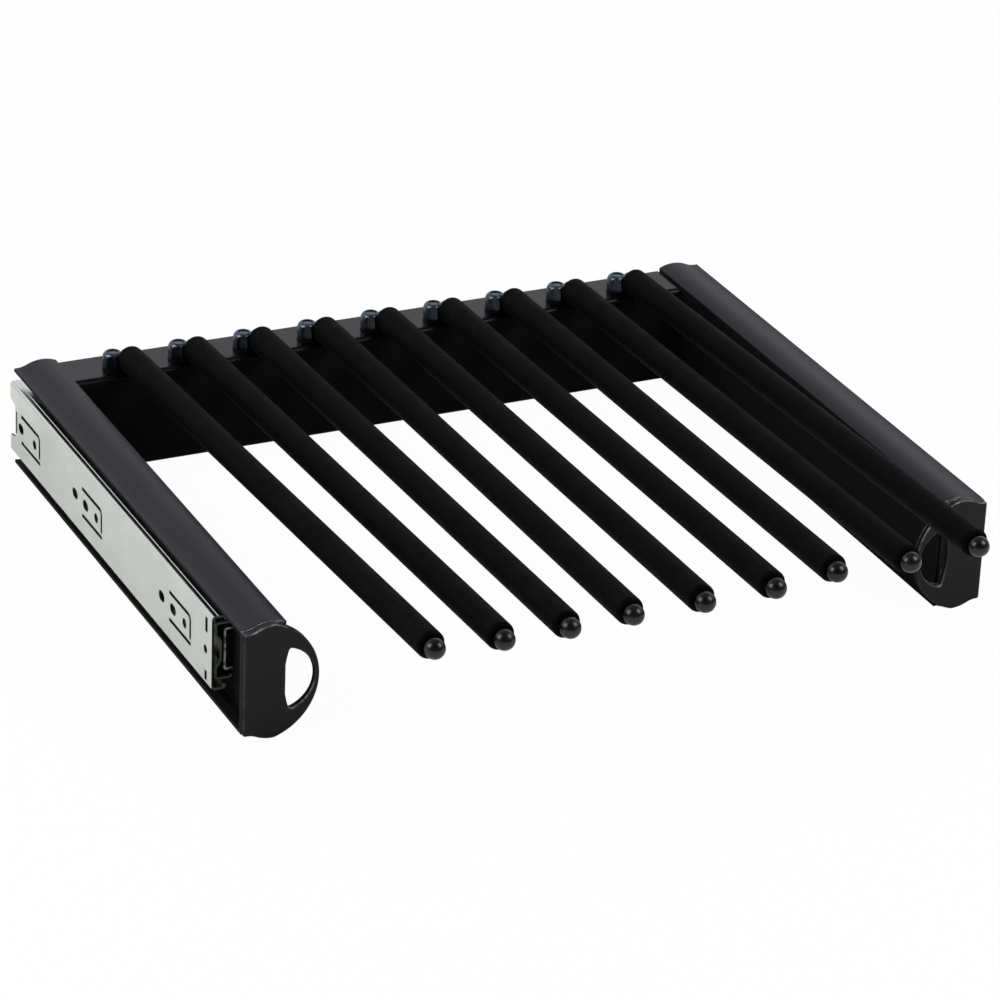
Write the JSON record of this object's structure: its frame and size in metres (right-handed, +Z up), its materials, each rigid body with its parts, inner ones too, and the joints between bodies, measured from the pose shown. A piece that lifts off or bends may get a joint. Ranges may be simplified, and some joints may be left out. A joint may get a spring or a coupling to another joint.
{
  "type": "pull-out trouser rack",
  "caption": "Pull-out trouser rack for a wardrobe: parallel sleeved rods cantilevered from a back beam between two side rails that run on ball-bearing slides.",
  "frame": {"origin": "midway between the slides, on their centre line, just behind the end caps' front faces", "axes": "+X to the right seen from the front, +Y to the back of the wardrobe, +Z up"},
  "size_m": [0.428, 0.4264, 0.0913],
  "materials": {
    "rail": "satin black coating",
    "cap": "satin black",
    "beam": "satin black paint",
    "screw": "zinc plated",
    "sleeve": "flocked, matte black",
    "core": "black",
    "tip": "glossy black",
    "nut": "blackened steel",
    "slide": "zinc plated",
    "cage": "plain",
    "bearing": "polished",
    "lever": "black",
    "buffer": "black"
  },
  "bodies": {
    "wardrobe_members": {"left_cabinet_member": "slide", "left_rear_buffer": "buffer", "right_cabinet_member": "slide", "right_rear_buffer": "buffer"},
    "rack": {"left_side_rail": "rail", "right_side_rail": "rail", "left_end_cap": "cap", "right_end_cap": "cap", "back_beam": "beam", "left_beam_plate": "beam", "right_beam_plate": "beam", "beam_screws": "screw", "left_slide_screws": "screw", "right_slide_screws": "screw", "rod_sleeve_1": "sleeve", "rod_sleeve_2": "sleeve", "rod_sleeve_3": "sleeve", "rod_sleeve_4": "sleeve", "rod_sleeve_5": "sleeve", "rod_sleeve_6": "sleeve", "rod_sleeve_7": "sleeve", "rod_sleeve_8": "sleeve", "rod_sleeve_9": "sleeve", "rod_core_1": "core", "rod_core_2": "core", "rod_core_3": "core", "rod_core_4": "core", "rod_core_5": "core", "rod_core_6": "core", "rod_core_7": "core", "rod_core_8": "core", "rod_core_9": "core", "rod_ball_1": "tip", "rod_ball_2": "tip", "rod_ball_3": "tip", "rod_ball_4": "tip", "rod_ball_5": "tip", "rod_ball_6": "tip", "rod_ball_7": "tip", "rod_ball_8": "tip", "rod_ball_9": "tip", "rod_nuts": "nut", "rod_bolts": "nut", "left_release_lever": "lever", "right_release_lever": "lever", "left_inner_member": "slide", "right_inner_member": "slide"},
    "left_middle": {"left_middle_member": "slide"},
    "left_outer_cage": {"left_outer_cage": "cage", "left_outer_balls": "bearing"},
    "left_inner_cage": {"left_inner_cage": "cage", "left_inner_balls": "bearing"},
    "right_middle": {"right_middle_member": "slide"},
    "right_outer_cage": {"right_outer_cage": "cage", "right_outer_balls": "bearing"},
    "right_inner_cage": {"right_inner_cage": "cage", "right_inner_balls": "bearing"}
  },
  "joints": [
    {"name": "rack_slide", "type": "slide", "parent": "wardrobe_members", "child": "rack", "axis": [0, -1, 0], "range_m": [0, 0.3]},
    {"name": "left_middle_slide", "type": "slide", "parent": "wardrobe_members", "child": "left_middle", "axis": [0, -1, 0], "range_m": [0, 0.15]},
    {"name": "left_outer_cage_slide", "type": "slide", "parent": "wardrobe_members", "child": "left_outer_cage", "axis": [0, -1, 0], "range_m": [0, 0.075]},
    {"name": "left_inner_cage_slide", "type": "slide", "parent": "wardrobe_members", "child": "left_inner_cage", "axis": [0, -1, 0], "range_m": [0, 0.225]},
    {"name": "right_middle_slide", "type": "slide", "parent": "wardrobe_members", "child": "right_middle", "axis": [0, -1, 0], "range_m": [0, 0.15]},
    {"name": "right_outer_cage_slide", "type": "slide", "parent": "wardrobe_members", "child": "right_outer_cage", "axis": [0, -1, 0], "range_m": [0, 0.075]},
    {"name": "right_inner_cage_slide", "type": "slide", "parent": "wardrobe_members", "child": "right_inner_cage", "axis": [0, -1, 0], "range_m": [0, 0.225]}
  ],
  "couplings": [
    {"joint": "left_middle_slide", "follows": "rack_slide", "ratio": 0.5},
    {"joint": "left_outer_cage_slide", "follows": "rack_slide", "ratio": 0.25},
    {"joint": "left_inner_cage_slide", "follows": "rack_slide", "ratio": 0.75},
    {"joint": "right_middle_slide", "follows": "rack_slide", "ratio": 0.5},
    {"joint": "right_outer_cage_slide", "follows": "rack_slide", "ratio": 0.25},
    {"joint": "right_inner_cage_slide", "follows": "rack_slide", "ratio": 0.75}
  ]
}
